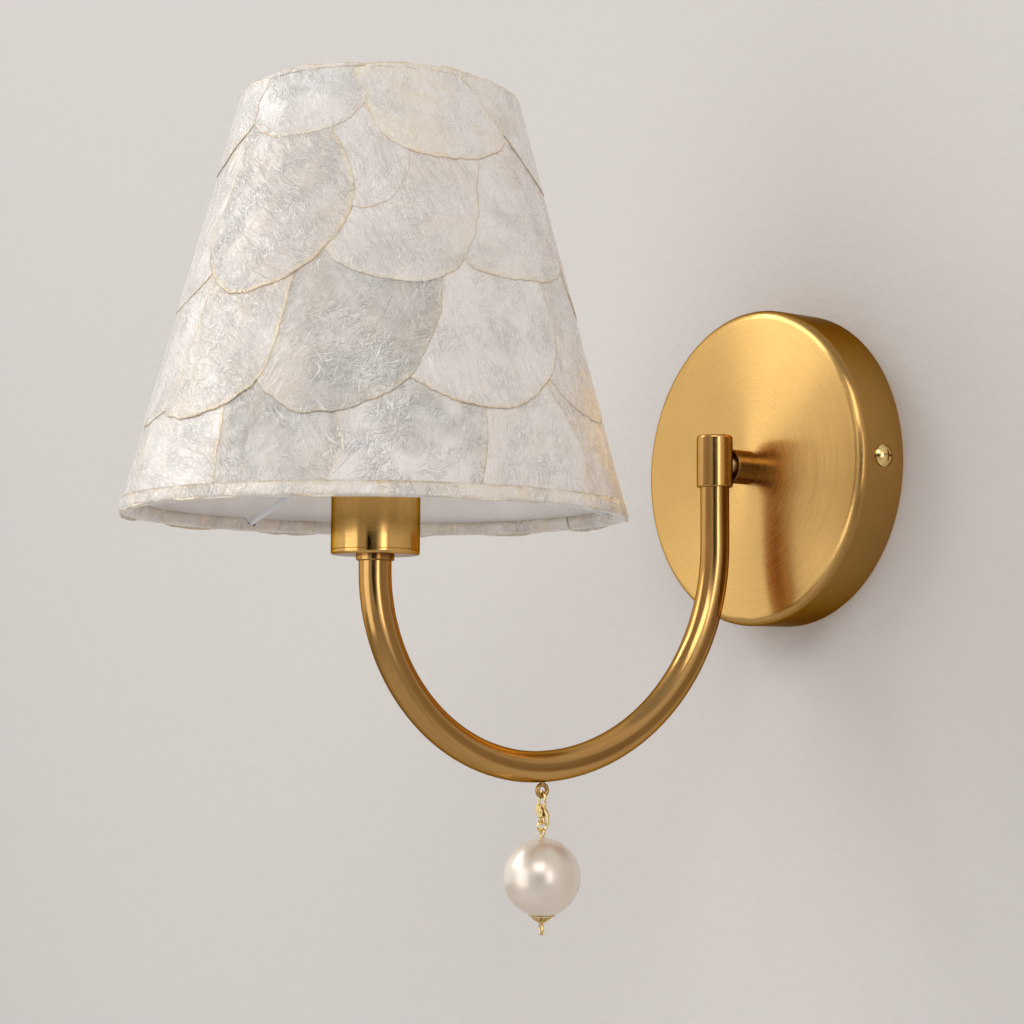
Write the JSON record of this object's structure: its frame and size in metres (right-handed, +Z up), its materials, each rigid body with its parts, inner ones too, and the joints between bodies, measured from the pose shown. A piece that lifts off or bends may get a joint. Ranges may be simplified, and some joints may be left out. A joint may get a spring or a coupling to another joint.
{
  "type": "wall sconce",
  "caption": "Wall sconce with a round canopy, a bent tube arm, a turned lampholder cup, a conical shell shade and a pearl hung on a clasp.",
  "frame": {"origin": "centre of the mounting bracket's back, on the wall plane", "axes": "+Y into the wall, so the light stands out towards -Y; +Z up; +X to the right seen from the room"},
  "size_m": [0.168, 0.267, 0.2774],
  "materials": {
    "satin_brass": "satin brushed, antique gold",
    "polished_brass": "polished",
    "antique_brass": "aged",
    "raw_brass": "machined",
    "zinc_steel": "zinc plated",
    "white_plastic": "moulded",
    "black_plastic": "moulded",
    "lead_brown": "extruded",
    "lead_blue": "extruded",
    "white_wire": "white powder coat",
    "shade_liner": "translucent white sheet",
    "shell": "pearly natural shell",
    "bulb_glass": "clear",
    "black_glass": "glossy",
    "cap_metal": "rolled sheet",
    "filament": "phosphor coated",
    "pearl": "pearl lacquer"
  },
  "bodies": {
    "light": {"mounting_bracket": "zinc_steel", "side_screws": "polished_brass", "earth_screw": "zinc_steel", "terminal_block": "white_plastic", "terminal_screws": "zinc_steel", "canopy": "satin_brass", "hollow_rod": "raw_brass", "lock_washer": "zinc_steel", "lock_nut": "zinc_steel", "standoff": "satin_brass", "elbow": "satin_brass", "arm_tube": "satin_brass", "lead_live": "lead_brown", "lead_neutral": "lead_blue", "arm_collar": "satin_brass", "cup_rod": "raw_brass", "socket_cup": "satin_brass", "lampholder_cap": "black_plastic", "lampholder_body": "black_plastic", "lampholder_thread_shell": "raw_brass", "lampholder_contact": "raw_brass", "shade_frame": "white_wire", "shade_clamp_ring": "black_plastic", "shade_top_ring": "white_wire", "shade_liner": "shade_liner", "shade_bottom_hem": "shell", "shade_top_hem": "shell", "shells_top": "shell", "shells_upper": "shell", "shells_lower": "shell", "shells_bottom": "shell", "bulb_glass": "bulb_glass", "bulb_cap": "cap_metal", "bulb_insulator": "black_glass", "bulb_contact": "cap_metal", "bulb_stem": "bulb_glass", "bulb_filaments": "filament", "hanging_eye": "antique_brass"},
    "clasp": {"clasp_body": "polished_brass", "clasp_rivet": "polished_brass"},
    "lever": {"clasp_lever": "polished_brass"},
    "ring": {"jump_ring": "polished_brass"},
    "pearl": {"pearl": "pearl", "bead_cap": "antique_brass", "pearl_pin": "polished_brass"}
  },
  "joints": [
    {"name": "clasp_swing", "type": "hinge", "parent": "light", "child": "clasp", "pos_m": [0, -0.1155, -0.12015], "axis": [0, 1, 0], "range_deg": [-30, 30]},
    {"name": "clasp_lever_open", "type": "hinge", "parent": "clasp", "child": "lever", "pos_m": [0.0003, -0.1155, -0.1252], "axis": [0, -1, 0], "range_deg": [0, 14], "stiffness_Nm_per_rad": 0.0005, "springref_deg": -6.88},
    {"name": "ring_swing", "type": "hinge", "parent": "clasp", "child": "ring", "pos_m": [0, -0.1155, -0.12955], "axis": [1, 0, 0], "range_deg": [-25, 25]},
    {"name": "pearl_swing", "type": "hinge", "parent": "ring", "child": "pearl", "pos_m": [0, -0.1155, -0.1321], "axis": [0, 1, 0], "range_deg": [-30, 30]}
  ]
}
